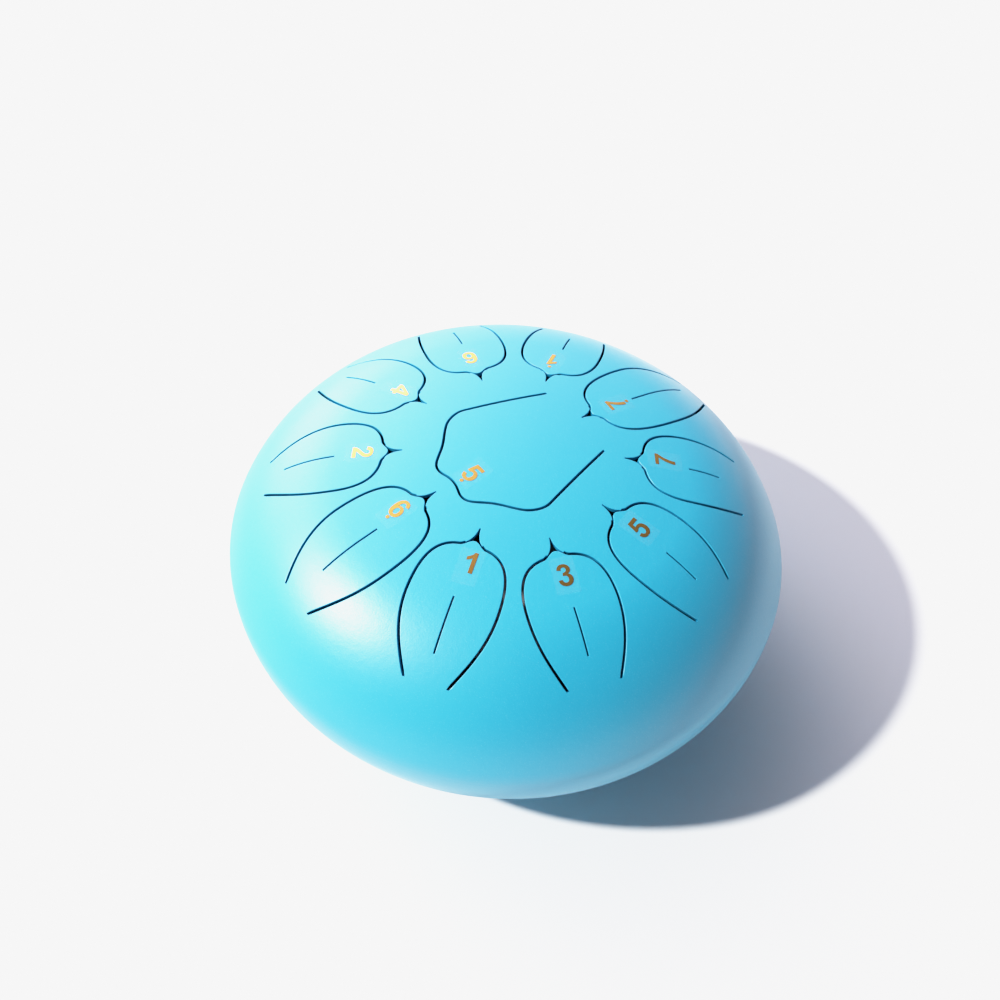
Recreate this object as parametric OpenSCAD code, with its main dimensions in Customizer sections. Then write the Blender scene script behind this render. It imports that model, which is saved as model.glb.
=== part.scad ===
// Steel tongue drum with a lotus of eleven tongues.
// Millimetres, +Z up. The origin is on the floor under the middle of the drum, and note 1 points to -Y.
// The upper and lower shells are pressed sheet, welded at the rim. Each tongue is cut free from the
// upper shell by a slot and stays joined to it at its root, where it bends.

/* [Shell] */
// Outside diameter at the rim
drum_d = 254; // [252:1:262]
// Thickness of the steel sheet
sheet_t = 2; // [1.2:0.1:2.4]
// Outside radius of the flat crown
crown_r = 326; // [318:1:328]
// Outside radius of the shoulder between crown and rim
shoulder_r = 72; // [68:1:73]
// Outside radius of the bottom's middle
base_r = 748; // [600:1:780]
// Outside radius of the bottom's heel
heel_r = 76; // [60:1:90]

/* [Tongues] */
// Width of the slot around a tongue
kerf = 1.1; // [0.8:0.1:1.6]
// Width of the tuning slit in a tongue
slit_w = 0.7; // [0.6:0.1:1.2]
// Radius on which the ring tongues are widest
belly_r = 77; // [74:1:80]
// Gap at the root, where the tongue's hinge is
root_gap = 0.03; // [0.02:0.01:0.05]

/* [Labels] */
// Width of a clear note label
label_w = 10; // [8:0.5:11]
// Length of a clear note label
label_l = 15.5; // [14:0.5:16]
// Thickness of a clear note label
label_t = 0.12; // [0.1:0.01:0.2]

/* [Bottom] */
// Mean radius of the lotus-shaped sound hole
hole_r = 30; // [24:1:34]
// Radius of the circle that the feet stand on
foot_ring_r = 56; // [52:1:62]
// Radius of a rubber foot
foot_r = 9; // [7:0.5:11]
// Height of a rubber foot at its middle
foot_h = 5; // [4:0.5:8]

/* [Hidden] */
$fn = 96;
DRUM_R = drum_d / 2;
CROWN_ANGLE = 13.6;
SHOULDER_ANGLE = 66;
BASE_ANGLE = 5;
HEEL_ANGLE = 39;
WELD_DEPTH = 1.2;
SPIKE_L = 7.4;
NOSE = 5.6;
SHOULDER = [5.4, 8.7];
PETALS = 8;
PETAL_DEPTH = 0.2;
FEET = 3;
FIRST_TONGUE = 270;
PITCH = 36;
CENTRE_AZ = 54;

// A ring tongue: name, tip radius, root radius, half width at the root, half width at the belly,
// slit start and end radius, and its label's place across and from the tip, and its tilt.
// The labels are stuck on by hand, so each sits a little differently.
RING = [
  ["1",      43.6, 106.0,  9.0, 19.0, 74.5, 96.6, [-1.2, 17.6,  1]],
  ["3",      47.0, 105.0, 11.0, 18.9, 77.6, 95.8, [-0.6, 17.2, -4]],
  ["5",      45.3, 102.0, 13.1, 18.6, 77.6, 92.7, [-1.3, 17.6,  1]],
  ["7",      47.8, 101.0, 15.4, 18.4, 76.7, 91.2, [-2.3, 18.0,  0]],
  ["low_7",  37.1, 109.0,  8.5, 19.8, 66.9, 99.5, [-0.2, 20.2, -4]],
  ["high_1", 47.2,  98.5, 15.8, 18.4, 76.6, 90.2, [-1.4, 17.9, -3]],
  ["6",      46.0, 100.0, 15.8, 18.8, 78.6, 93.2, [-0.1, 19.0,  0]],
  ["4",      47.7, 105.5, 10.4, 19.3, 78.3, 96.4, [ 1.2, 17.4,  3]],
  ["2",      47.7, 107.8,  9.5, 19.1, 77.2, 99.6, [ 0.6, 17.5, -3]],
  ["low_6",  39.7, 107.4,  9.0, 19.5, 68.4, 94.2, [ 2.0, 18.2,  3]],
];
// The middle tongue: its label's place across and along it, and its tilt.
CENTRE_LABEL = [1.2, -22.2, 4];

// A shell's section is three tangent arcs: [middle radius, its angle, next radius, its angle].
TOP = [crown_r, CROWN_ANGLE, shoulder_r, SHOULDER_ANGLE];
BASE = [base_r, BASE_ANGLE, heel_r, HEEL_ANGLE];

function polar(r, angle) = r * [sin(angle), cos(angle)];
function arc(centre, r, from, to, n) = [for (i = [0:n]) centre + polar(r, from + (to - from) * i / n)];
function tail(p) = [for (i = [1:len(p) - 1]) p[i]];
function reversed(p) = [for (i = [len(p) - 1:-1:0]) p[i]];

function rim_radius(s) =
  (DRUM_R - s[0] * sin(s[1]) - s[2] * (sin(s[3]) - sin(s[1]))) / (1 - sin(s[3]));
function rise(s) =
  s[0] * (1 - cos(s[1])) + s[2] * (cos(s[1]) - cos(s[3])) + rim_radius(s) * cos(s[3]);

// The section's arc from the axis to the rim plane, moved outwards by d.
function section(s, d) =
  let (
    middle = [0, rise(s) - s[0]],
    next = middle + polar(s[0] - s[2], s[1]),
    last = next + polar(s[2] - rim_radius(s), s[3])
  )
  concat(
    arc(middle, s[0] + d, 0, s[1], 5),
    tail(arc(next, s[2] + d, s[1], s[3], 12)),
    tail(arc(last, rim_radius(s) + d, s[3], 90, 6))
  );

// Height of the bottom's outside at radius r, below the rim plane, on its middle arc.
function base_depth(r) = rise(BASE) - base_r + sqrt(base_r * base_r - r * r);
RIM_Z = foot_h + base_depth(foot_ring_r);

// A shell's section between two distances from its outside.
module layer_section(s, outer, inner) {
  polygon(concat(section(s, outer), reversed(section(s, inner))));
}

// The weld fills a V between the shells and is ground flush, so each shell's edge is bevelled.
WELD_ROOT = [DRUM_R - WELD_DEPTH, 0];
function weld_toe(s) =
  [DRUM_R - rim_radius(s) + sqrt(pow(rim_radius(s), 2) - WELD_DEPTH * WELD_DEPTH), WELD_DEPTH];

module sheet_section(s) {
  difference() {
    layer_section(s, 0, -sheet_t);
    polygon([WELD_ROOT, weld_toe(s), [DRUM_R + 1, WELD_DEPTH], [DRUM_R + 1, 0]]);
  }
}

module solid_dome(s) {
  rotate_extrude() polygon(concat([[0, 0]], section(s, 0)));
}

// Outlines lie in a plan frame with the tongue's tip towards -Y and its root towards +Y.
function bezier(p, n, from = 0) =
  [for (i = [from:n]) let (t = i / n, u = 1 - t)
    u * u * u * p[0] + 3 * t * u * u * p[1] + 3 * t * t * u * p[2] + t * t * t * p[3]];

// The middle of a ring tongue's slot, from the nose on the axis to the root.
function ring_line(t) =
  let (
    tip = [0, t[1]],
    belly = [t[4], belly_r],
    root = [t[3], t[2]],
    shoulder = tip + SHOULDER,
    reach = root.y - belly.y
  )
  concat(
    bezier([tip + [0, NOSE], tip + [2.2, NOSE], tip + [3.4, 8], shoulder], 5),
    bezier([shoulder, tip + [11.5, 9.6], [belly.x, tip.y + 13], belly], 9, 1),
    bezier([belly, belly + [0, 0.45 * reach], [root.x + 0.47 * (belly.x - root.x), root.y - 0.26 * reach],
            root], 7, 1)
  );

// The middle of the centre tongue's slot: wavy tip, waist, shoulder, then a straight side.
CENTRE_LINE = concat(
  bezier([[0, -31.2], [4, -31.2], [5.5, -32.8], [8.5, -32.8]], 4),
  bezier([[8.5, -32.8], [13, -32.8], [14.5, -28.5], [19, -24]], 5, 1),
  bezier([[19, -24], [22.3, -20.7], [25.5, -18.8], [28.5, -15.5]], 4, 1),
  bezier([[28.5, -15.5], [30.6, -13.2], [32.7, -8.3], [31.6, -4.5]], 5, 1),
  [[20.6, 33.2]]
);

// A half line moved sideways by d. Its first point stays on the axis and its last on the root line.
function shifted(p, d) =
  [for (i = [0:len(p) - 1])
    let (
      before = i == 0 ? [-p[1].x, p[1].y] : p[i - 1],
      after = p[min(i + 1, len(p) - 1)],
      along = i == len(p) - 1 ? [0, 1] : (after - before) / norm(after - before)
    )
    p[i] + d * [along.y, -along.x]];
function both_sides(p) = concat(p, [for (i = [len(p) - 1:-1:1]) [-p[i].x, p[i].y]]);
function shortened(p, gap) = [for (i = [0:len(p) - 1]) p[i] - (i == len(p) - 1 ? [0, gap] : [0, 0])];

module shell_window(line) {
  polygon(both_sides(shifted(line, kerf / 2)));
}

module tongue_outline(line) {
  polygon(both_sides(shortened(shifted(line, -kerf / 2), root_gap)));
}

// The spike-shaped notch in the shell in front of a ring tongue's nose.
module spike(t) {
  side = bezier([[0.25, 0], [0.5, 3], [1.2, 5.6], [3.4, SPIKE_L]], 5);
  points = [for (p = side) p + [0, t[1]]];
  polygon(concat(points, reversed([for (p = points) [-p.x, p.y]])));
}

module slit(t) {
  translate([-slit_w / 2, t[5]]) square([slit_w, t[6] - t[5]]);
}

module label_outline(place) {
  translate([place[0], place[1]]) rotate(place[2]) square([label_w, label_l], center = true);
}

function ring_az(i) = FIRST_TONGUE + PITCH * i;
function ring_index(t) = [for (i = [0:len(RING) - 1]) if (RING[i][0] == t[0]) i][0];
function ring_label(t) = [t[7][0], t[1] + t[7][1], t[7][2]];

// Stands a plan outline up through the upper shell, with its root towards azimuth az.
module column(az) {
  rotate(az - 90) translate([0, 0, WELD_DEPTH + 1]) linear_extrude(rise(TOP)) children();
}

module lift() {
  translate([0, 0, RIM_Z]) children();
}

module top_shell() {
  color([0.30, 0.80, 0.90]) lift() difference() {
    rotate_extrude() sheet_section(TOP);
    column(CENTRE_AZ) shell_window(CENTRE_LINE);
    for (i = [0:len(RING) - 1]) {
      column(ring_az(i)) union() {
        shell_window(ring_line(RING[i]));
        spike(RING[i]);
      }
    }
  }
}

module bottom_shell() {
  color([0.28, 0.74, 0.88]) lift() difference() {
    mirror([0, 0, 1]) rotate_extrude() sheet_section(BASE);
    translate([0, 0, -rise(BASE) - 1]) linear_extrude(rise(BASE) / 2) lotus_hole();
  }
}

module lotus_hole() {
  polygon([for (a = [0:3:357])
    let (r = hole_r * (1 - PETAL_DEPTH + 2 * PETAL_DEPTH * sqrt(abs(cos(a * PETALS / 2)))))
    r * [cos(a), sin(a)]]);
}

module seam_weld() {
  color([0.30, 0.78, 0.90]) lift() rotate_extrude()
    polygon([WELD_ROOT, weld_toe(TOP), [DRUM_R, 0], [weld_toe(BASE).x, -WELD_DEPTH]]);
}

module tongue_low_5() {
  color([0.38, 0.86, 0.95]) lift() intersection() {
    rotate_extrude() layer_section(TOP, 0, -sheet_t);
    column(CENTRE_AZ) tongue_outline(CENTRE_LINE);
  }
}

module ring_tongue(t) {
  color([0.38, 0.86, 0.95]) lift() intersection() {
    rotate_extrude() layer_section(TOP, 0, -sheet_t);
    column(ring_az(ring_index(t))) difference() {
      tongue_outline(ring_line(t));
      slit(t);
    }
  }
}

module label(az, place) {
  color([0.90, 0.75, 0.35, 0.6]) lift() intersection() {
    rotate_extrude() layer_section(TOP, label_t, 0);
    column(az) label_outline(place);
  }
}

// A rubber foot: a short cylinder, chamfered where it meets the floor and shaped to the bottom on top.
module foot(i) {
  color([0.10, 0.10, 0.11]) difference() {
    rotate(90 + 360 / FEET * i) translate([foot_ring_r, 0, 0]) union() {
      cylinder(r1 = foot_r - 1, r2 = foot_r, h = 1);
      translate([0, 0, 1]) cylinder(r = foot_r, h = 2 * foot_h);
    }
    lift() mirror([0, 0, 1]) solid_dome(BASE);
  }
}

top_shell();
bottom_shell();
seam_weld();
tongue_low_5();
label(CENTRE_AZ, CENTRE_LABEL);  // label_low_5
for (t = RING) {
  ring_tongue(t);
  label(ring_az(ring_index(t)), ring_label(t));
}
for (i = [1:FEET]) {
  foot(i);
}
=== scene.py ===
# %% [markdown]
# # A steel tongue drum
# The drum is two pressed steel shells welded at the rim and powder coated sky blue. A lotus of eleven
# tongues is cut in the upper shell, each with a clear label and a gold numeral. The CAD model gives the
# sizes and the bodies that move. Here each piece gets the surface and finish of the real one.

# %% The frame
import math

import bpy
from mathutils import Matrix, Vector


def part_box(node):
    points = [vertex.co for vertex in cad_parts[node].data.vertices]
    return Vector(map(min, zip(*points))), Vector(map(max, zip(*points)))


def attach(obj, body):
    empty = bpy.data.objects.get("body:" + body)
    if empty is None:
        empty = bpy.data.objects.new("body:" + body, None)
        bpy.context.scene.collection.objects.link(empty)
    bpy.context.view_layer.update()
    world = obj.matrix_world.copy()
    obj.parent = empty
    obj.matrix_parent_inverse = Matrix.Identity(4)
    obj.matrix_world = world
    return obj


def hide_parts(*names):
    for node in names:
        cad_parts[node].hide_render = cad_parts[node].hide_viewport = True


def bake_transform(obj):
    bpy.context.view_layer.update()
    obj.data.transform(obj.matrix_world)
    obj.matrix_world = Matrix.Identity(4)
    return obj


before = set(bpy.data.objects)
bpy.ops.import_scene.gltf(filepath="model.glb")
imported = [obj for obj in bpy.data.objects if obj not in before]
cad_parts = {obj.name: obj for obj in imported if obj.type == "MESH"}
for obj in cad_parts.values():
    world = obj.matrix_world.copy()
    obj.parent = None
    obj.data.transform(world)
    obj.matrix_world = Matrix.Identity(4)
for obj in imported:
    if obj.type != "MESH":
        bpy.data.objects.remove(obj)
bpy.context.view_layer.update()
MM = 0.001
# Points nearer than this are one point.
SAME = 0.01

# %% [markdown]
# ## The section
# Both shells are pressed in dies, and a die's section is drawn with a few tangent arcs: a wide one over
# the middle, a tighter one over the shoulder, and a small one that turns into the rim. The arcs' centres
# follow from their radii, so the surface and its slope are known exactly at every radius. That is what
# keeps the satin highlight smooth later on.

# %% Arcs of the two shells
DRUM_R = 127.0
SHEET = 2.0
# The rings and discs about the axis all have this many sides, so that their points meet.
ROUNDS = 288
# radius of the crown's arc and the angle where it ends, then the same for the shoulder's
TOP_ARCS = (326.0, 13.6, 72.0, 66.0)
BASE_ARCS = (748.0, 5.0, 76.0, 39.0)
RIM_Z = sum(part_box("seam_weld")[i].z for i in (0, 1)) / 2 / MM


class Section:
    """Three tangent arcs from the axis to the rim. Up is +1 for the upper shell and -1 for the lower."""

    def __init__(self, arcs, up):
        crown, crown_angle, shoulder, shoulder_angle = arcs
        a, b = math.radians(crown_angle), math.radians(shoulder_angle)
        last = (DRUM_R - crown * math.sin(a) - shoulder * (math.sin(b) - math.sin(a))) / (1 - math.sin(b))
        self.up = up
        self.rise = crown * (1 - math.cos(a)) + shoulder * (math.cos(a) - math.cos(b)) + last * math.cos(b)
        middle = (0.0, self.rise - crown)
        second = (middle[0] + (crown - shoulder) * math.sin(a), middle[1] + (crown - shoulder) * math.cos(a))
        third = (second[0] + (shoulder - last) * math.sin(b), second[1] + (shoulder - last) * math.cos(b))
        self.arcs = [(middle, crown, a), (second, shoulder, b), (third, last, math.pi / 2)]

    def slope(self, radius, out=0.0):
        """The arc and the angle from upright of the surface's normal, at a distance from the axis."""
        for (centre, size, limit) in self.arcs:
            if radius <= centre[0] + (size + out) * math.sin(limit) + 1e-9:
                break
        return centre, size, math.asin(min(1.0, (radius - centre[0]) / (size + out)))

    def at(self, radius, out=0.0):
        """The point of the outside at that radius, moved along its normal by out, as (radius, z)."""
        centre, size, angle = self.slope(radius)
        return self.on(centre, size + out, angle)

    def on(self, centre, size, angle):
        return centre[0] + size * math.sin(angle), RIM_Z + self.up * (centre[1] + size * math.cos(angle))

    def outward(self, point, out=0.0):
        """The outside's normal under a point, which is a vertex's place in metres."""
        radius = math.hypot(point.x, point.y) / MM
        angle = self.slope(radius, out)[2]
        share = math.sin(angle) / max(radius * MM, 1e-9)
        return Vector((point.x * share, point.y * share, self.up * math.cos(angle)))


top = Section(TOP_ARCS, 1)
base = Section(BASE_ARCS, -1)
print("rim at", round(RIM_Z, 3), "upper rise", round(top.rise, 2), "lower rise", round(base.rise, 2))

# %% [markdown]
# ## Workshop helpers
# An operator works on whatever is selected and active, so each step begins by choosing one piece and
# nothing else.

# %% Choosing pieces


def nothing_chosen():
    if bpy.context.object and bpy.context.object.mode != "OBJECT":
        bpy.ops.object.mode_set(mode="OBJECT")
    bpy.ops.object.select_all(action="DESELECT")


def choose(piece):
    nothing_chosen()
    piece.select_set(True)
    bpy.context.view_layer.objects.active = piece
    return piece


def edit_all(piece):
    choose(piece)
    bpy.ops.object.mode_set(mode="EDIT")
    bpy.ops.mesh.select_all(action="SELECT")


def done():
    bpy.ops.mesh.select_mode(type="VERT")
    bpy.ops.object.mode_set(mode="OBJECT")


def pick_faces(piece, wanted):
    """Opens the piece in edit mode with only the wanted faces selected."""
    edit_all(piece)
    bpy.ops.mesh.select_mode(type="FACE")
    bpy.ops.mesh.select_all(action="DESELECT")
    bpy.ops.object.mode_set(mode="OBJECT")
    for face in piece.data.polygons:
        face.select = wanted(face)
    bpy.ops.object.mode_set(mode="EDIT")


def modifier(piece, kind, **settings):
    """Adds a modifier and applies it at once."""
    choose(piece)
    added = piece.modifiers.new(kind.title(), kind)
    for name, value in settings.items():
        setattr(added, name, value)
    bpy.ops.object.modifier_apply(modifier=added.name)


def joined(pieces, name):
    """Makes one piece of several and merges the points where they meet."""
    choose(pieces[0])
    for piece in pieces[1:]:
        piece.select_set(True)
    bpy.ops.object.join()
    pieces[0].name = pieces[0].data.name = name
    edit_all(pieces[0])
    bpy.ops.mesh.remove_doubles(threshold=2 * SAME * MM)
    done()
    return pieces[0]


# %% [markdown]
# ## Writing a finish
# Shader sums are easier to read as sums. This small class wraps a socket, so that 0.4 + 0.1 * grain adds
# the Math nodes by itself.

# %% Shader words


class Amount:
    """A number that varies over a surface."""

    def __init__(self, finish, socket):
        self.finish = finish
        self.socket = socket

    def sum(self, operation, a, b):
        made = self.finish.node("ShaderNodeMath", {"operation": operation}, {0: a, 1: b})
        return Amount(self.finish, made.outputs[0])

    def __add__(self, other):
        return self.sum("ADD", self, other)

    def __sub__(self, other):
        return self.sum("SUBTRACT", self, other)

    def __rsub__(self, other):
        return self.sum("SUBTRACT", other, self)

    def __mul__(self, other):
        return self.sum("MULTIPLY", self, other)

    __radd__ = __add__
    __rmul__ = __mul__


class Finish:
    """A material and its nodes."""

    def __init__(self, name):
        self.material = bpy.data.materials.new(name)
        self.material.use_nodes = True
        self.tree = self.material.node_tree
        self.surface = self.tree.nodes["Principled BSDF"]

    def node(self, kind, settings=None, sockets=None):
        """Adds a node: its settings first, then the values or links of its sockets."""
        made = self.tree.nodes.new(kind)
        for name, value in (settings or {}).items():
            setattr(made, name, value)
        for name, value in (sockets or {}).items():
            self.put(made.inputs[name], value)
        return made

    def put(self, socket, value):
        if isinstance(value, Amount):
            value = value.socket
        if isinstance(value, bpy.types.NodeSocket):
            self.tree.links.new(value, socket)
        else:
            socket.default_value = value

    def place(self):
        return self.node("ShaderNodeTexCoord").outputs["Object"]

    def noise(self, per_metre, detail, roughness):
        sockets = {"Vector": self.place(), "Scale": per_metre, "Detail": detail, "Roughness": roughness}
        return Amount(self, self.node("ShaderNodeTexNoise", None, sockets).outputs["Fac"])

    def between(self, value, low, high):
        """Spreads a value's range from low to high over 0 to 1, held at both ends."""
        sockets = {"Value": value, "From Min": low, "From Max": high}
        return Amount(self, self.node("ShaderNodeMapRange", {"clamp": True}, sockets).outputs["Result"])

    def mix(self, share, one, other):
        """A colour between two colours."""
        made = self.node("ShaderNodeMix", {"data_type": "RGBA"}, {0: share, 6: one, 7: other})
        return made.outputs[2]

    def bump(self, height, distance):
        made = self.node("ShaderNodeBump", None, {"Height": height, "Distance": distance, "Strength": 1.0})
        self.put(self.surface.inputs["Normal"], made.outputs["Normal"])

    def set(self, **values):
        """Sets sockets of the surface by name, with _ for a space."""
        for name, value in values.items():
            self.put(self.surface.inputs[name.replace("_", " ")], value)


# %% [markdown]
# ## Powder coat
# Powder coat is a baked polymer skin. It is satin, not glossy, and never quite flat: it has a shallow
# orange peel a few millimetres across and a finer grain that sparkles where the highlight falls.

# %% Sky blue coat
coat = Finish("powder_coat_sky")
drift = coat.between(coat.noise(16, 2, 0.5), 0.3, 0.7)
grain = coat.noise(1500, 3, 0.6)
peel = coat.noise(330, 2, 0.5)
speck = coat.between(coat.noise(2600, 1, 0.5), 0.62, 0.74)
blue = coat.mix(drift, (0.005, 0.355, 0.540, 1), (0.009, 0.372, 0.560, 1))
blue = coat.mix(0.10 * speck, blue, (0.55, 0.90, 0.97, 1))
coat.set(Base_Color=blue, Roughness=0.41 + 0.08 * grain, IOR=1.65,
         Specular_IOR_Level=0.68, Sheen_Weight=0.2, Sheen_Roughness=0.4)
coat.bump(0.55 * peel + 0.45 * grain, 0.00010)
print(coat.material.name, len(coat.tree.nodes), "nodes")

# %% [markdown]
# ## Inside of the shells
# No one coats the inside with care: it gets a thin dusting through the slots and the sound hole over
# dull rolled steel. The steel is painted nearly black, as painted shade of the closed drum's dark inside.

# %% Dusted steel, painted dark as shade
inside = Finish("inside_dusted_steel_painted_shade")
dust = inside.between(inside.noise(60, 4, 0.6), 0.35, 0.75)
mill = inside.noise(700, 3, 0.6)
# The near black is painted shade of the dark inside; the dust mask is the blue overspray over it.
inside.set(Base_Color=inside.mix(dust, (0.010, 0.014, 0.018, 1), (0.008, 0.040, 0.060, 1)),
           Metallic=0.30 - 0.25 * dust, Roughness=0.50 + 0.15 * mill)
inside.bump(mill, 0.00005)
print(inside.material.name, len(inside.tree.nodes), "nodes")

# %% [markdown]
# ## Sides of the cuts
# Powder hardly reaches into a narrow slot, so the coat is thin and dull on the cut sides. They get a
# finish of their own, rougher than the coat and darker: partly the thin coat, partly painted shade
# that keeps the narrow slots dark.

# %% Coat in the cuts, darkened with painted shade
cut = Finish("thin_coat_and_painted_shade_in_cuts")
spray = cut.between(cut.noise(220, 4, 0.6), 0.35, 0.70)
# The dark blues here are partly thin coat and partly painted shade of the deep, narrow slots.
cut.set(Base_Color=cut.mix(spray, (0.006, 0.170, 0.300, 1), (0.008, 0.250, 0.410, 1)),
        Roughness=0.55 + 0.15 * spray, Specular_IOR_Level=0.25)
cut.bump(spray, 0.00005)
print(cut.material.name, len(cut.tree.nodes), "nodes")

# %% [markdown]
# ## Film, foil and rubber
# The film is clear vinyl: nearly all of the blue shows through, with a soft gloss of its own. The foil
# is polished metal on a slightly wavy film, so it mirrors what stands around it. Rubber is matte
# black with a fine moulded grain.

# %% Film
clear = Finish("clear_label_film")
wave = clear.noise(260, 2, 0.5)
scuff = clear.between(clear.noise(900, 3, 0.6), 0.5, 0.8)
clear.set(Base_Color=clear.mix(scuff, (0.62, 0.90, 0.97, 1), (0.80, 0.95, 0.99, 1)),
          Alpha=0.015 + 0.025 * scuff, Roughness=0.16 + 0.10 * scuff, IOR=1.48)
clear.bump(wave, 0.00006)
print(clear.material.name, len(clear.tree.nodes), "nodes")

# %% Foil
gold = Finish("gold_foil")
crease = gold.noise(420, 3, 0.6)
pit = gold.between(gold.noise(1900, 2, 0.5), 0.60, 0.72)
gold.set(Base_Color=gold.mix(pit, (0.86, 0.47, 0.11, 1), (0.56, 0.27, 0.06, 1)), Metallic=1.0,
         Roughness=0.17 + 0.12 * pit)
gold.bump(crease, 0.00006)
print(gold.material.name, len(gold.tree.nodes), "nodes")

# %% Rubber
rubber = Finish("black_rubber")
mould = rubber.noise(1400, 3, 0.6)
bloom = rubber.between(rubber.noise(120, 3, 0.6), 0.4, 0.75)
rubber.set(Base_Color=rubber.mix(bloom, (0.020, 0.020, 0.022, 1), (0.040, 0.040, 0.043, 1)),
           Roughness=0.62 + 0.20 * mould)
rubber.bump(mould, 0.00008)
print(rubber.material.name, len(rubber.tree.nodes), "nodes")

# %% Finishes on pieces


def dress(piece, *finishes):
    """Gives a piece its finishes: the skin's, the inner side's and the cut sides', in that order."""
    piece.data.materials.clear()
    for finish in finishes:
        piece.data.materials.append(finish.material)


# %% [markdown]
# ## Flat blanks
# A laser cuts the slots into the shell from above, so a tongue's outline is simplest in plan. Each blank
# starts flat: a filled circle whose corners are drawn out to the outline. It is pressed onto the dome
# afterwards, as one presses a sheet over a die.

# %% A blank


def blank(name, outline):
    """A flat face with these corners, in millimetres, facing up."""
    nothing_chosen()
    bpy.ops.mesh.primitive_circle_add(vertices=len(outline), radius=0.1, fill_type="NGON")
    piece = bpy.context.object
    piece.name = piece.data.name = name
    for vertex, (x, y) in zip(piece.data.vertices, outline):
        vertex.co = (x * MM, y * MM, 0)
    piece.data.update()
    if piece.data.polygons[0].normal.z < 0:
        edit_all(piece)
        bpy.ops.mesh.flip_normals()
        done()
    return piece


def face_out(piece, shell):
    """Turns a piece's faces over if they look into the shell."""
    facing = sum(face.normal.dot(shell.outward(face.center)) for face in piece.data.polygons)
    if facing < 0:
        edit_all(piece)
        bpy.ops.mesh.flip_normals()
        done()


def turned(piece, azimuth):
    """Turns a blank from its drawing, root towards +Y, to where its root points on the drum."""
    piece.data.transform(Matrix.Rotation(math.radians(azimuth - 90), 4, "Z"))
    return piece


# %% [markdown]
# ## The lines of the slots
# A slot is cut along one smooth line, drawn with Bezier curves: a small nose at the tip, a round
# shoulder, and a flank that closes in towards the root. The line moved out by half the cut's width is
# the shell's edge, and moved in by the same is the tongue's edge. Low notes have long tongues.

# %% Lotus lines
KERF = 1.1
SLIT = 0.7
BELLY = 77.0
NOSE = 5.6
SPIKE = 7.4
CENTRE_AZ = 54.0
# name: azimuth, tip, root, half width at the root, half width at the belly, slit from, slit to
RING = {
    "1": (270, 43.6, 106.0, 9.0, 19.0, 74.5, 96.6),
    "3": (306, 47.0, 105.0, 11.0, 18.9, 77.6, 95.8),
    "5": (342, 45.3, 102.0, 13.1, 18.6, 77.6, 92.7),
    "7": (18, 47.8, 101.0, 15.4, 18.4, 76.7, 91.2),
    "low_7": (54, 37.1, 109.0, 8.5, 19.8, 66.9, 99.5),
    "high_1": (90, 47.2, 98.5, 15.8, 18.4, 76.6, 90.2),
    "6": (126, 46.0, 100.0, 15.8, 18.8, 78.6, 93.2),
    "4": (162, 47.7, 105.5, 10.4, 19.3, 78.3, 96.4),
    "2": (198, 47.7, 107.8, 9.5, 19.1, 77.2, 99.6),
    "low_6": (234, 39.7, 107.4, 9.0, 19.5, 68.4, 94.2),
}
CENTRE_SHOULDER = (31.6, -4.5)
CENTRE_ROOT = (20.6, 33.2)


def azimuth_of(name):
    return CENTRE_AZ if name == "low_5" else RING[name][0]


def bezier(a, b, c, d, n, first=0):
    """Points along a Bezier curve with handles b and c, in n steps, from step first on."""
    points = []
    for i in range(first, n + 1):
        t = i / n
        u = 1 - t
        weights = (u * u * u, 3 * t * u * u, 3 * t * t * u, t * t * t)
        points.append(tuple(sum(w * p[k] for w, p in zip(weights, (a, b, c, d))) for k in (0, 1)))
    return points


def ring_line(tip, root, root_half, belly_half):
    """Half of a ring tongue's slot, from its nose on the axis to the root."""
    shoulder = (5.4, tip + 8.7)
    reach = root - BELLY
    return (
        bezier((0, tip + NOSE), (2.2, tip + NOSE), (3.4, tip + 8), shoulder, 9)
        + bezier(shoulder, (11.5, tip + 9.6), (belly_half, tip + 13), (belly_half, BELLY), 22, 1)
        + bezier((belly_half, BELLY), (belly_half, BELLY + 0.45 * reach),
                 (root_half + 0.47 * (belly_half - root_half), root - 0.26 * reach), (root_half, root), 16, 1)
    )


def centre_line():
    """Half of the middle tongue's slot: a wavy tip, a waist, a shoulder and a straight side."""
    (x, y), (root_x, root_y), n = CENTRE_SHOULDER, CENTRE_ROOT, 15
    straight = [(x + (root_x - x) * k / n, y + (root_y - y) * k / n) for k in range(1, n + 1)]
    return (
        bezier((0, -31.2), (4, -31.2), (5.5, -32.8), (8.5, -32.8), 7)
        + bezier((8.5, -32.8), (13, -32.8), (14.5, -28.5), (19, -24), 9, 1)
        + bezier((19, -24), (22.3, -20.7), (25.5, -18.8), (28.5, -15.5), 7, 1)
        + bezier((28.5, -15.5), (30.6, -13.2), (32.7, -8.3), CENTRE_SHOULDER, 9, 1)
        + straight
    )


def moved(line, out):
    """A half line moved sideways. Its first point stays on the axis and its last on the root line."""
    result = []
    for i, (x, y) in enumerate(line):
        before = line[i - 1] if i else (-line[1][0], line[1][1])
        after = line[min(i + 1, len(line) - 1)]
        along = Vector((after[0] - before[0], after[1] - before[1])).normalized()
        if i == len(line) - 1:
            along = Vector((0, 1))
        result.append((x + out * along.y, y - out * along.x))
    return result


LINES = {name: ring_line(*row[1:5]) for name, row in RING.items()}
LINES["low_5"] = centre_line()
print("points in a ring line", len(LINES["1"]), "in the middle line", len(LINES["low_5"]))

# %% [markdown]
# ## Rolled edges and a fine net
# Powder melts and flows in the oven, and surface tension draws it round a cut edge, so no edge on the
# drum is sharp. Two narrow insets give each cut edge a small round. The rest of the blank is then cut
# into a net of small cells by straight cuts. All the pieces use the same cuts, so that a tongue and
# the shell share their points along the root, where they are one sheet of steel.

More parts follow.
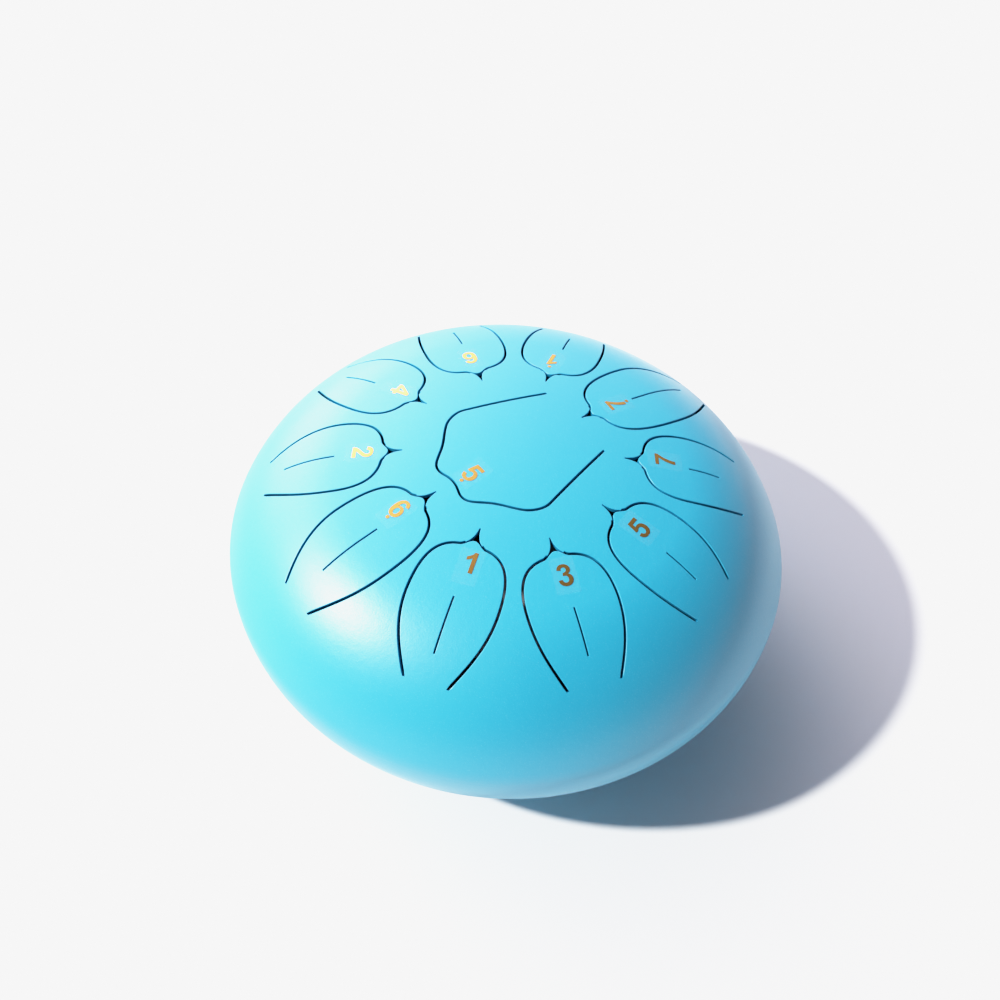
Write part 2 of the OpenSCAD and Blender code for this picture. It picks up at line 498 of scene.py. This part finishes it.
# %% Edge and net
ROLL = ((0.10, 0.06), (0.20, 0.0))
EDGE_DROP = 0.20
NET = 2.5
NET_SHIFT = 0.137


def drops(piece):
    """How far below the dome each point lies, in millimetres, kept on the piece as an attribute."""
    held = piece.data.attributes.get("drop")
    return held or piece.data.attributes.new("drop", "FLOAT", "POINT")


def roll_edges(piece):
    """Insets the whole outline twice. The outline itself lies lowest."""
    for value in drops(piece).data:
        value.value = EDGE_DROP
    edit_all(piece)
    for width, drop in ROLL:
        bpy.ops.mesh.inset(thickness=width * MM, use_boundary=True, use_even_offset=True)
        bpy.ops.object.mode_set(mode="OBJECT")
        lying = drops(piece).data
        for face in piece.data.polygons:
            if face.select:
                for corner in face.vertices:
                    lying[corner].value = drop
        bpy.ops.object.mode_set(mode="EDIT")
    bpy.ops.object.vertex_group_add()
    bpy.ops.object.vertex_group_assign()
    done()


def net(piece, pitch=NET):
    """Cuts the inner faces along X and Y, at the same places on every piece. The small shift keeps the
    cuts clear of points that lie on the axes."""
    xs = [v.co.x for v in piece.data.vertices]
    ys = [v.co.y for v in piece.data.vertices]
    choose(piece)
    bpy.ops.object.mode_set(mode="EDIT")
    for axis, values in ((0, xs), (1, ys)):
        first, last = math.ceil(min(values) / MM / pitch), math.floor(max(values) / MM / pitch)
        for i in range(first, last + 1):
            place, way = [0, 0, 0], [0, 0, 0]
            place[axis] = (i * pitch + NET_SHIFT) * MM
            way[axis] = 1
            bpy.ops.mesh.select_all(action="DESELECT")
            bpy.ops.object.vertex_group_select()
            bpy.ops.mesh.bisect(plane_co=place, plane_no=way, threshold=1e-7)
    done()


# %% [markdown]
# ## Pressing
# Each point of a blank keeps its plan place and goes up to the dome. The wall gets its thickness there,
# so that the cut sides stand square to the dome, and only then do the rolled edges go down by their drop.
# Every corner on the dome is given the arcs' exact slope, so the light sees one continuous surface over
# all the pieces.

# %% Press, thicken, and true the surface
SHARP = 35
# A face belongs to the skin if its normal leans on the dome's by more than this cosine.
SKIN_SIDE = 0.6


def press(piece, shell, out=0.0):
    """Takes every point of a flat piece up to the dome, or out from it by this much."""
    for vertex in piece.data.vertices:
        radius = math.hypot(vertex.co.x, vertex.co.y) / MM
        angle = math.atan2(vertex.co.y, vertex.co.x)
        far, high = shell.at(radius, out)
        vertex.co = (far * MM * math.cos(angle), far * MM * math.sin(angle), high * MM)
    piece.data.update()
    face_out(piece, shell)


def true_surface(piece, shell, wall):
    """Smooth faces, with the arcs' own slope at every corner that lies on the dome or inside it. Cut
    sides and rolled edges keep the slope of their faces."""
    choose(piece)
    bpy.ops.object.shade_smooth_by_angle(angle=math.radians(SHARP))
    lying = drops(piece).data
    mesh = piece.data
    slopes = []
    for face in mesh.polygons:
        side = face.normal.dot(shell.outward(face.center))
        for loop in face.loop_indices:
            index = mesh.loops[loop].vertex_index
            if lying[index].value > 0 or abs(side) < SKIN_SIDE:
                slopes.append((0, 0, 0))
            elif side > 0:
                slopes.append(shell.outward(mesh.vertices[index].co))
            else:
                slopes.append(-shell.outward(mesh.vertices[index].co, -wall))
    mesh.normals_split_custom_set(slopes)


def thicken(piece, wall=SHEET):
    """Adds a wall inwards. Its inner side and its cut sides take the second and third finish."""
    modifier(piece, "SOLIDIFY", thickness=wall * MM, offset=-1, use_even_offset=True,
             material_offset=1, material_offset_rim=2)


def sink_edges(piece, shell):
    """Lowers the rolled edges of the outer skin, once the cut walls stand square to it."""
    lying = drops(piece).data
    skin = {corner for face in piece.data.polygons
            if face.normal.dot(shell.outward(face.center)) > SKIN_SIDE for corner in face.vertices}
    for corner in skin:
        vertex = piece.data.vertices[corner]
        vertex.co -= shell.outward(vertex.co) * lying[corner].value * MM
    piece.data.update()


def loop_of_points(name, points):
    """A closed line through these points, as (radius, z) in millimetres, standing on the X axis."""
    nothing_chosen()
    bpy.ops.mesh.primitive_circle_add(vertices=len(points), radius=0.1)
    piece = bpy.context.object
    piece.name = piece.data.name = name
    for vertex, (far, high) in zip(piece.data.vertices, points):
        vertex.co = (far * MM, 0, high * MM)
    return piece


def spin_all():
    """Spins what is in edit mode once round the drum's axis and closes the join."""
    bpy.ops.mesh.select_all(action="SELECT")
    bpy.ops.mesh.spin(steps=ROUNDS, angle=math.tau, center=(0, 0, 0), axis=(0, 0, 1))
    bpy.ops.mesh.select_all(action="SELECT")
    bpy.ops.mesh.remove_doubles(threshold=SAME * MM)


def dome_strip(name, shell, inner, outer_height, steps):
    """A ring of the dome from a radius to a height above the rim plane, spun about the axis."""
    begin = shell.slope(inner)[2]
    first = [arc[0] for arc in shell.arcs].index(shell.slope(inner)[0])
    points = []
    for k in range(first, 3):
        centre, size, limit = shell.arcs[k]
        end = limit if k < 2 else math.acos(outer_height / size)
        n = max(2, round(steps * (end - begin)))
        angles = [begin + (end - begin) * i / n for i in range(0 if k == first else 1, n + 1)]
        points += [shell.on(centre, size, angle) for angle in angles]
        begin = limit
    strip = loop_of_points(name, points)
    ends = {0, len(points) - 1}
    for edge in strip.data.edges:
        edge.select = set(edge.vertices) == ends
    for vertex in strip.data.vertices:
        vertex.select = vertex.index in ends
    bpy.ops.object.mode_set(mode="EDIT")
    bpy.ops.mesh.select_mode(type="EDGE")
    bpy.ops.mesh.delete(type="EDGE")
    bpy.ops.mesh.select_mode(type="VERT")
    spin_all()
    done()
    face_out(strip, shell)
    return strip


# %% [markdown]
# ## The tongues
# Half a tongue is drawn, with its tuning slit along the axis, and mirrored, so both halves match as
# they do on a laser's path. The slit shortens the tongue's working length without a longer cut.

# %% Eleven tongues
# Near its root a tongue lies flush for the first stretch, and its roll fades in over the second.
ROOT_FLUSH = 0.35
ROOT_FADE = 0.8
ROOT_REACH = 1.2


def root_line(edge, root):
    """Points from the edge in along the root, without both ends."""
    return [(edge * (1 - k / 6), root) for k in range(1, 6)]


def half_outline(name):
    """Half a tongue: down its edge to the root, in along the root, and back up the axis round the slit."""
    line = moved(LINES[name], -KERF / 2)
    edge, root = line[-1]
    across = root_line(edge, root)
    if name == "low_5":
        return line + across + [(0, root)]
    slit_from, slit_to = RING[name][5:]
    n = 12
    slit = [(SLIT / 2, slit_to + (slit_from - slit_to) * k / n) for k in range(n + 1)]
    return line + across + [(0, root), (0, slit_to)] + slit + [(0, slit_from)]


def keep_root_flush(piece, name, wide):
    """The root isn't an edge, so its roll is taken away, and fades in over the first millimetre."""
    root = LINES[name][-1][1]
    back = Matrix.Rotation(math.radians(90 - azimuth_of(name)), 4, "Z")
    lying = drops(piece).data
    for vertex in piece.data.vertices:
        x, y, _ = back @ vertex.co / MM
        if abs(x) < wide and abs(y - root) < ROOT_REACH and lying[vertex.index].value > 0:
            fade = min(1.0, max(0.0, (root - y - ROOT_FLUSH) / ROOT_FADE))
            lying[vertex.index].value *= fade


tongues = {}
for name in LINES:
    tongue = blank("tongue_" + name + "_steel", half_outline(name))
    modifier(tongue, "MIRROR", use_clip=True, merge_threshold=SAME * MM)
    turned(tongue, azimuth_of(name))
    roll_edges(tongue)
    keep_root_flush(tongue, name, DRUM_R)
    net(tongue)
    press(tongue, top)
    tongues[name] = tongue
print("tongues", len(tongues), "faces in note 1", len(tongues["1"].data.polygons))

# %% [markdown]
# ## The upper shell
# The crown is a disc with eleven windows. Each window has a spike in front of the tongue's nose. The
# windows are cut with solid cutters, which is the safest way to cut a shape with many points. The rim
# is spun, because it is a plain ring.

# %% Cutting windows
CROWN_R = 112.5
PLATE = 1.0
ROOT_BESIDE = 2.5


def slab(piece, low, high):
    """Gives a blank a thickness from low to high, for cutting with or cutting from."""
    piece.data.transform(Matrix.Translation((0, 0, low * MM)))
    edit_all(piece)
    bpy.ops.mesh.extrude_region_move(TRANSFORM_OT_translate={"value": (0, 0, (high - low) * MM)})
    bpy.ops.mesh.select_all(action="SELECT")
    bpy.ops.mesh.normals_make_consistent(inside=False)
    done()
    return piece


def window(name):
    """The hole round a tongue: the slot's outer edge, closed by the root, with a spike at the nose."""
    line = moved(LINES[name], KERF / 2)
    edge, root = line[-1]
    across = root_line(edge, root)
    if name == "low_5":
        half = line + across
    else:
        tip = RING[name][1]
        spike = [(x, y + tip) for x, y in bezier((0.22, 0), (0.5, 3), (1.2, 5.6), (3.4, SPIKE), 8)]
        tail = [p for p in line if p[0] > spike[-1][0] + 0.15]
        half = spike + tail + across
    other = [(-x, y) for x, y in reversed(half) if x > 0]
    return half + [(0, root)] + other


def circle_outline(radius, n):
    return [(radius * math.cos(math.tau * k / n), radius * math.sin(math.tau * k / n)) for k in range(n)]


def cut_from(plate, cutters):
    """Cuts the shapes out of a flat plate and keeps its upper face."""
    slab(plate, -PLATE, 0)
    for cutter in cutters:
        slab(cutter, -3 * PLATE, 3 * PLATE)
        modifier(plate, "BOOLEAN", object=cutter, operation="DIFFERENCE", solver="EXACT")
        bpy.data.objects.remove(cutter)
    pick_faces(plate, lambda face: not (face.normal.z > 0.5 and face.center.z > -0.1 * MM))
    bpy.ops.mesh.delete(type="FACE")
    done()
    return plate


crown = blank("crown", circle_outline(CROWN_R, ROUNDS))
cutters = [turned(blank("cutter", window(name)), azimuth_of(name)) for name in LINES]
cut_from(crown, cutters)
print("crown faces after cutting", len(crown.data.polygons), "points", len(crown.data.vertices))

# %% Crown and rim in one shell


def keep_join_flush(piece, radius):
    """Where a flat-made part meets a spun ring there is no edge, so no roll."""
    lying = drops(piece).data
    for vertex in piece.data.vertices:
        if math.hypot(vertex.co.x, vertex.co.y) / MM > radius - 0.6:
            lying[vertex.index].value = 0.0


roll_edges(crown)
keep_join_flush(crown, CROWN_R)
for name in LINES:
    keep_root_flush(crown, name, LINES[name][-1][0] + ROOT_BESIDE)
net(crown)
press(crown, top)
WELD = 1.2
STRIP_STEPS = 30
rim = dome_strip("rim", top, CROWN_R, WELD, STRIP_STEPS)
drops(rim)
top_skin = joined([crown, rim], "top_shell_steel")
print("upper shell faces", len(top_skin.data.polygons))

# %% [markdown]
# ## The lower shell
# The bottom is a shallower pressing with a lotus-shaped sound hole in its middle, which lets the air
# inside sound with the tongues. It is made as the upper shell is: a cut plate in the middle and a spun
# ring round it.

# %% Bottom and sound hole
HOLE_R = 30.0
BASE_PLATE_R = 60.0
BOTTOM_NET = 4.0


def lotus(n=240):
    """A hole with eight round petals."""
    points = []
    for k in range(n):
        a = math.tau * k / n
        far = HOLE_R * (0.8 + 0.4 * math.sqrt(abs(math.cos(4 * a))))
        points.append((far * math.cos(a), far * math.sin(a)))
    return points


bottom = blank("bottom", circle_outline(BASE_PLATE_R, ROUNDS))
cut_from(bottom, [blank("hole", lotus())])
roll_edges(bottom)
keep_join_flush(bottom, BASE_PLATE_R)
net(bottom, BOTTOM_NET)
press(bottom, base)
side = dome_strip("side", base, BASE_PLATE_R, WELD, STRIP_STEPS)
drops(side)
bottom_skin = joined([bottom, side], "bottom_shell_steel")
print("lower shell faces", len(bottom_skin.data.polygons))

# %% [markdown]
# ## The weld
# The shells are bevelled at the rim, welded all round and ground flush, and the coat hides the seam. The
# ring is a small V in section, spun round the axis. Its outer face carries on the shells' arcs.

# %% Seam ring


def seam():
    """The ring between the shells: the outside follows both arcs, the inside comes to a point."""
    arcs = []
    for shell in (top, base):
        centre, size, _ = shell.arcs[2]
        lean = math.asin(WELD / size)
        arcs.append([shell.on(centre, size, math.pi / 2 - lean * k / 3) for k in range(4)])
    outline = list(reversed(arcs[0])) + arcs[1][1:] + [(DRUM_R - WELD, RIM_Z)]
    ring = loop_of_points("seam_weld_steel", outline)
    edit_all(ring)
    spin_all()
    bpy.ops.mesh.normals_make_consistent(inside=False)
    done()
    return ring


weld = seam()
drops(weld)
print("weld faces", len(weld.data.polygons))

# %% Walls and true surfaces
for piece, shell in [(t, top) for t in tongues.values()] + [(top_skin, top), (bottom_skin, base)]:
    dress(piece, coat, inside, cut)
    thicken(piece)
    sink_edges(piece, shell)
    true_surface(piece, shell, SHEET)
dress(weld, coat)
true_surface(weld, top, SHEET)
print("upper shell triangles", sum(len(f.vertices) - 2 for f in top_skin.data.polygons))

# %% [markdown]
# ## Note labels
# Each note has a clear vinyl label with a gold foil numeral, stuck on by hand, so each sits a little
# askew. The film is a thin sheet with round corners that follows the dome. A dot below a numeral marks a
# note an octave lower, and a dot above it a note an octave higher.

# %% Films
LABEL_W = 10.0
LABEL_L = 15.5
LABEL_CORNER = 0.9
FILM = 0.10
LABEL_NET = 1.6
# The film starts a hair above the dome, and the foil above the film.
LIFT = 0.01
# name: film's place across and along the drawing, its tilt, and the numeral's place on the film
LABELS = {
    "1": (-1.2, 61.2, 1, (-0.2, -1.9)),
    "3": (-0.6, 64.2, -4, (0.0, -0.2)),
    "5": (-1.3, 62.9, 1, (0.0, 0.0)),
    "7": (-2.3, 65.8, 0, (0.0, 0.0)),
    "low_7": (-0.2, 57.3, -4, (0.0, 0.0)),
    "high_1": (-1.4, 65.1, -3, (0.0, 0.0)),
    "6": (-0.1, 65.0, 0, (0.0, 0.0)),
    "4": (1.2, 65.1, 3, (0.0, -1.5)),
    "2": (0.6, 65.2, -3, (0.0, -0.5)),
    "low_6": (2.0, 57.9, 3, (0.3, -1.8)),
    "low_5": (1.2, -22.2, 4, (0.0, 0.0)),
}


def all_grouped(piece):
    """Puts every point in one group, so that the net cuts the whole piece."""
    edit_all(piece)
    bpy.ops.object.vertex_group_add()
    bpy.ops.object.vertex_group_assign()
    done()


def placed(piece, name, shift=(0.0, 0.0)):
    """Turns and moves a flat piece from its own middle to its label's place on the drum."""
    across, along, tilt, _ = LABELS[name]
    piece.data.transform(Matrix.Translation((shift[0] * MM, shift[1] * MM, 0)))
    piece.data.transform(Matrix.Rotation(math.radians(tilt), 4, "Z"))
    piece.data.transform(Matrix.Translation((across * MM, along * MM, 0)))
    return turned(piece, azimuth_of(name))


def round_rectangle(wide, long, corner, n=4):
    points = []
    for sx, sy, start in ((1, 1, 0), (-1, 1, 90), (-1, -1, 180), (1, -1, 270)):
        for k in range(n + 1):
            a = math.radians(start + 90 * k / n)
            x, y = sx * (wide / 2 - corner), sy * (long / 2 - corner)
            points.append((x + corner * math.cos(a), y + corner * math.sin(a)))
    return points


films = {}
for name in LABELS:
    film = blank("label_" + name + "_film", round_rectangle(LABEL_W, LABEL_L, LABEL_CORNER))
    placed(film, name)
    all_grouped(film)
    net(film, LABEL_NET)
    press(film, top, FILM)
    dress(film, clear)
    thicken(film, FILM - LIFT)
    true_surface(film, top, FILM)
    films[name] = film
print("films", len(films), "faces each about", len(films["1"].data.polygons))

# %% [markdown]
# ## Gold numerals
# Plain upright numerals in bold lettering, foil blocked on the film. Each is drawn on a grid a hundred
# units high, as straight and Bezier pieces of a flat curve, which also takes care of the holes in
# 4 and 6. The curve is made a mesh, cut into small cells and pressed like the film.

# %% Drawn outlines
# A contour starts at a point. A pair goes on straight, and three pairs are a Bezier's handles and its end.
DRAWN = {
    "1": [[(55, 0), (36, 0), (36, 72), ((28, 65), (19, 60), (11, 58)), (11, 75),
           ((23, 79), (36, 88), (40, 100)), (55, 100)]],
    "2": [[(4, 0), ((6, 18), (14, 28), (30, 42)), ((46, 57), (51, 62), (51, 71)),
           ((51, 79), (46, 84), (39, 84)), ((31, 84), (26, 79), (25, 68)), (6, 70),
           ((8, 90), (20, 100), (39, 100)), ((59, 100), (70, 88), (70, 72)),
           ((70, 58), (62, 48), (48, 35)), ((38, 26), (33, 22), (31, 18)), (70, 18), (70, 0)]],
    "3": [[(5, 27), (23, 29), ((24, 20), (30, 14), (38, 14)), ((46, 14), (52, 21), (52, 30)),
           ((52, 40), (46, 46), (38, 46)), ((35, 46), (32, 46), (29, 45)), (31, 60),
           ((41, 60), (48, 65), (48, 73)), ((48, 80), (43, 85), (36, 85)),
           ((30, 85), (25, 80), (24, 71)), (7, 74), ((10, 91), (20, 100), (37, 100)),
           ((55, 100), (67, 89), (67, 75)), ((67, 66), (62, 59), (53, 54)),
           ((65, 51), (72, 42), (72, 30)), ((72, 12), (58, -2), (38, -2)),
           ((19, -2), (7, 9), (5, 27))]],
    "4": [[(43, 0), (43, 20), (2, 20), (2, 37), (45, 100), (61, 100), (61, 37), (73, 37), (73, 20),
           (61, 20), (61, 0)],
          [(43, 37), (43, 71), (20, 37)]],
    "5": [[(6, 26), (25, 28), ((26, 19), (32, 14), (39, 14)), ((48, 14), (53, 21), (53, 33)),
           ((53, 45), (47, 51), (39, 51)), ((33, 51), (28, 48), (24, 44)), (9, 46), (18, 98),
           (69, 98), (69, 80), (33, 80), (30, 63), ((34, 65), (38, 66), (43, 66)),
           ((60, 66), (74, 53), (74, 33)), ((74, 12), (60, -2), (39, -2)),
           ((20, -2), (8, 9), (6, 26))]],
    "6": [[(71, 75), (53, 73), ((52, 81), (48, 84), (42, 84)), ((33, 84), (27, 76), (26, 56)),
           ((31, 61), (37, 64), (44, 64)), ((61, 64), (73, 50), (73, 32)),
           ((73, 12), (60, -2), (41, -2)), ((18, -2), (6, 14), (6, 48)),
           ((6, 83), (21, 100), (43, 100)), ((60, 100), (69, 91), (71, 75))],
          [(28, 33), ((28, 20), (34, 14), (42, 14)), ((49, 14), (54, 20), (54, 31)),
           ((54, 44), (49, 50), (41, 50)), ((34, 50), (28, 44), (28, 33))]],
    "7": [[(6, 81), (6, 98), (71, 98), (71, 84), ((52, 62), (40, 30), (38, 0)), (19, 0),
           ((21, 32), (33, 62), (50, 81))]],
}
print("numerals drawn", len(DRAWN))


def traced(contour):
    """The corners of a drawn contour, each once."""
    points = [contour[0]]
    for step in contour[1:]:
        if isinstance(step[0], tuple):
            points += bezier(points[-1], *step, 7, 1)
        else:
            points.append(step)
    return points[:-1] if points[-1] == points[0] else points


# %% Numerals
DIGIT_H = 9.2
DOT_D = 1.7
DOT_GAP = 0.5
FOIL = 0.03
FOIL_NET = 1.5
# A dot under a numeral is -1 and one over it is +1.
DOTS = {"low_7": -1, "low_6": -1, "low_5": -1, "high_1": 1}


def numeral(name):
    """A flat numeral centred on its own middle, with its top towards the middle of the drum, or on the
    middle tongue towards its root."""
    nothing_chosen()
    drawing = bpy.data.curves.new("numeral_" + name + "_foil", "CURVE")
    drawing.dimensions = "2D"
    drawing.fill_mode = "BOTH"
    contours = [traced(contour) for contour in DRAWN[name[-1]]]
    xs = [x for x, _ in contours[0]]
    middle = (max(xs) + min(xs)) / 2
    unit = DIGIT_H * MM / 100
    for points in contours:
        line = drawing.splines.new("POLY")
        line.points.add(len(points) - 1)
        line.use_cyclic_u = True
        for point, (x, y) in zip(line.points, points):
            point.co = ((x - middle) * unit, (y - 50) * unit, 0, 1)
    piece = bpy.data.objects.new(drawing.name, drawing)
    bpy.context.collection.objects.link(piece)
    choose(piece)
    bpy.ops.object.convert(target="MESH")
    piece = bpy.context.object
    if name in DOTS:
        nothing_chosen()
        place = (0, DOTS[name] * (DIGIT_H / 2 + DOT_GAP + DOT_D / 2) * MM, 0)
        bpy.ops.mesh.primitive_circle_add(vertices=24, radius=DOT_D / 2 * MM, fill_type="NGON",
                                          location=place)
        bpy.ops.object.transform_apply(location=True)
        piece = joined([piece, bpy.context.object], piece.name)
    if name != "low_5":
        piece.data.transform(Matrix.Rotation(math.pi, 4, "Z"))
    return piece


numerals = {}
for name in LABELS:
    piece = numeral(name)
    placed(piece, name, LABELS[name][3])
    all_grouped(piece)
    net(piece, FOIL_NET)
    press(piece, top, FILM + LIFT + FOIL)
    dress(piece, gold)
    thicken(piece, FOIL)
    true_surface(piece, top, FOIL)
    numerals[name] = piece
print("numerals", len(numerals))

# %% [markdown]
# ## Feet
# Three rubber feet under the lower shell keep the drum from sliding and from damping on a table. A
# moulded foot has a soft lower edge and a shallow cup underneath, and its top fits the shell.

# %% Rubber feet
FOOT_R = 9.0
FOOT_H = 4.0
FOOT_ROUND = 1.0
FOOT_LIP = 2.2
CUP_ROUND = 0.4
CUP_DEPTH = 0.7
# The foot's top is let into the shell by this much, so that no gap shows.
LET_IN = 0.1


def foot(number):
    """A foot at its CAD place: a soft lower edge, a lip round a shallow cup, and a top cut to the shell."""
    low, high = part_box("foot_%d" % number)
    x, y = (low.x + high.x) / 2, (low.y + high.y) / 2
    nothing_chosen()
    bpy.ops.mesh.primitive_cylinder_add(vertices=72, radius=FOOT_R * MM, depth=FOOT_H * MM,
                                        location=(x, y, FOOT_H / 2 * MM))
    bpy.ops.object.transform_apply(location=True)
    piece = bpy.context.object
    piece.name = piece.data.name = "foot_%d_rubber" % number
    pick_faces(piece, lambda face: face.normal.z < -0.9)
    bpy.ops.mesh.bevel(offset=FOOT_ROUND * MM, segments=4, affect="EDGES")
    done()
    pick_faces(piece, lambda face: face.normal.z < -0.99)
    bpy.ops.mesh.inset(thickness=FOOT_LIP * MM)
    bpy.ops.mesh.inset(thickness=CUP_ROUND * MM)
    bpy.ops.mesh.extrude_region_move(TRANSFORM_OT_translate={"value": (0, 0, CUP_DEPTH * MM)})
    bpy.ops.mesh.inset(thickness=1.2 * MM)
    done()
    for vertex in piece.data.vertices:
        if vertex.co.z > (FOOT_H - 0.1) * MM:
            radius = math.hypot(vertex.co.x, vertex.co.y) / MM
            vertex.co.z = (base.at(radius)[1] + LET_IN) * MM
    pick_faces(piece, lambda face: face.normal.z > 0.9)
    bpy.ops.mesh.inset(thickness=0.5 * MM)
    done()
    choose(piece)
    bpy.ops.object.shade_smooth_by_angle(angle=math.radians(32))
    return piece


feet = [foot(n) for n in (1, 2, 3)]
for piece in feet:
    dress(piece, rubber)
print("foot faces", len(feet[0].data.polygons))

# %% [markdown]
# ## Riding the bodies
# A tongue is the same sheet as the shell at its root and swings free at its tip. Films and numerals sit
# beyond the bend and ride the tongue. The shells, the weld and the feet ride the drum.

# %% Bodies


def on_dome(name, along):
    """A point on the tongue's own axis, on the dome, in metres."""
    a = math.radians(azimuth_of(name))
    far, high = top.at(abs(along), -SHEET / 2)
    way = 1 if along >= 0 else -1
    return (way * far * MM * math.cos(a), way * far * MM * math.sin(a), high * MM)


# The bend ends at this place on the middle tongue's axis, and this far from the tip on a ring tongue.
CENTRE_STIFF = -10.0
RING_STIFF = 27.5
for name, tongue in tongues.items():
    root = LINES[name][-1][1]
    stiff = CENTRE_STIFF if name == "low_5" else RING[name][1] + RING_STIFF
    "tongue_" + name
    on_dome(name, root)
    on_dome(name, stiff)
    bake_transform(tongue)
    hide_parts("tongue_" + name)
    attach(films[name], "tongue_" + name)
    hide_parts("label_" + name)
    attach(numerals[name], "tongue_" + name)
for piece, node in ((top_skin, "top_shell"), (bottom_skin, "bottom_shell"), (weld, "seam_weld")):
    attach(piece, "drum_body")
    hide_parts(node)
for number, piece in enumerate(feet, 1):
    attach(piece, "drum_body")
    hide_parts("foot_%d" % number)
print("tongues that blend", len(tongues), "pieces on the drum", 3 + len(feet))

# %% [markdown]
# ## Floor and light
# A plain pale floor, a hard key from the left at mid height, and a room that is bright on one side only.
# The key is far away, so the floor is evenly lit and the shadow has one direction.

# %% Floor
FLOOR_WIDE = 8.0
nothing_chosen()
bpy.ops.mesh.primitive_plane_add(size=FLOOR_WIDE)
floor = bpy.context.object
floor.name = "floor"
paper = Finish("floor_paper")
paper.set(Base_Color=(0.80, 0.80, 0.80, 1), Roughness=0.9, Specular_IOR_Level=0.0)
dress(floor, paper)

# %% Light
KEY_AZ = 207.0
KEY_EL = 40.5
KEY_STRENGTH = 6.0
KEY_ANGLE = 3.0


def towards(azimuth, elevation):
    a, e = math.radians(azimuth), math.radians(elevation)
    return Vector((math.cos(a) * math.cos(e), math.sin(a) * math.cos(e), math.sin(e)))


nothing_chosen()
bpy.ops.object.light_add(type="SUN", location=towards(KEY_AZ, KEY_EL) * 2)
key = bpy.context.object
key.name = "key"
key.data.energy = KEY_STRENGTH
key.data.angle = math.radians(KEY_ANGLE)
key.rotation_mode = "QUATERNION"
key.rotation_quaternion = towards(KEY_AZ, KEY_EL).to_track_quat("Z", "Y")
print("key from", KEY_AZ, "at", KEY_EL, "degrees")

# %% Room
# The room is dim and bluish overhead and towards the front, and bright behind and to the left, as with a
# wide window there.
ROOM_AZ = 146.0
ROOM_EL = 12.0
ROOM_DIM = 0.18
ROOM_GLOW = 4.6
ROOM_WINDOW = 5.6
DIM_BLUE = (0.72, 0.84, 1.12, 1)
PALE = (0.95, 0.89, 1.0, 1)
world = bpy.data.worlds.new("room")
bpy.context.scene.world = world
world.use_nodes = True
room = world.node_tree
dim = room.nodes["Background"]
dim.inputs["Color"].default_value = DIM_BLUE
dim.inputs["Strength"].default_value = ROOM_DIM
bright = room.nodes.new("ShaderNodeBackground")
bright.inputs["Color"].default_value = PALE
both = room.nodes.new("ShaderNodeAddShader")
room.links.new(dim.outputs["Background"], both.inputs[0])
room.links.new(bright.outputs["Background"], both.inputs[1])
room.links.new(both.outputs["Shader"], room.nodes["World Output"].inputs["Surface"])
direction = room.nodes.new("ShaderNodeTexCoord")
facing = room.nodes.new("ShaderNodeVectorMath")
facing.operation = "DOT_PRODUCT"
facing.inputs[1].default_value = towards(ROOM_AZ, ROOM_EL)
room.links.new(direction.outputs["Generated"], facing.inputs[0])


def reckon(operation, first, second, third=0.0):
    """One step of sums in the room's nodes. A number goes straight on its socket."""
    step = room.nodes.new("ShaderNodeMath")
    step.operation = operation
    for socket, value in zip(step.inputs, (first, second, third)):
        if isinstance(value, float):
            socket.default_value = value
        else:
            room.links.new(value, socket)
    return step.outputs["Value"]


# Half of one plus the cosine falls off smoothly all the way round the room. Its eighth power is the wide
# glow of the walls, and its thirty-second power is the window.
near = reckon("MULTIPLY_ADD", facing.outputs["Value"], 0.5, 0.5)
glow = reckon("POWER", near, 8.0)
pane = reckon("POWER", near, 32.0)
level = reckon("MULTIPLY_ADD", pane, ROOM_WINDOW, reckon("MULTIPLY", glow, ROOM_GLOW))
room.links.new(level, bright.inputs["Strength"])
print("room nodes", len(room.nodes))

# %% [markdown]
# ## The camera
# The camera looks down on the drum from the front, a little to the right and about half a metre away. It
# is held slightly off level. The tones are those of a bright print: straight up to mid grey, with a soft
# shoulder above.

# %% Camera
LENS = 38.59
DISTANCE = 500.5
LOOK_AZ = 285.364
LOOK_EL = 50.559
LEAN = 4.0375
SIDE = (3.48, -14.03)


def camera():
    """A camera at a distance from the middle of the rim plane, moved sideways and rolled."""
    back = towards(LOOK_AZ, LOOK_EL)
    level_right = Vector((0, 0, 1)).cross(back).normalized()
    level_up = back.cross(level_right)
    roll = math.radians(LEAN)
    right = level_right * math.cos(roll) + level_up * math.sin(roll)
    up = level_up * math.cos(roll) - level_right * math.sin(roll)
    place = back * DISTANCE - right * SIDE[0] - up * SIDE[1] + Vector((0, 0, RIM_Z))
    bpy.ops.object.camera_add()
    made = bpy.context.object
    turn = Matrix((right, up, back)).transposed().to_4x4()
    made.matrix_world = Matrix.Translation(place * MM) @ turn
    made.data.lens = LENS
    made.data.sensor_width = 36.0
    made.data.clip_start = 0.01
    return made


bpy.context.scene.camera = camera()
print("camera at", [round(v, 3) for v in bpy.context.scene.camera.location])

# %% Tones
view = bpy.context.scene.view_settings
view.view_transform = "Standard"
# The light tones roll off gently up to one and a half times white, as on a well exposed print.
WHITE = 1.5
PAPER_WHITE = 0.922
view.use_curve_mapping = True
view.curve_mapping.white_level = (WHITE, WHITE, WHITE)
tones = view.curve_mapping.curves[3]
tones.points[0].location = (0, 0)
tones.points[1].location = (1, PAPER_WHITE)
for light, shown in ((0.25, 0.25), (0.50, 0.50), (0.75, 0.705), (1.0, 0.835), (1.25, 0.905)):
    tones.points.new(light / WHITE, shown)
view.curve_mapping.extend = "HORIZONTAL"
view.curve_mapping.update()
print("tone points", len(tones.points))
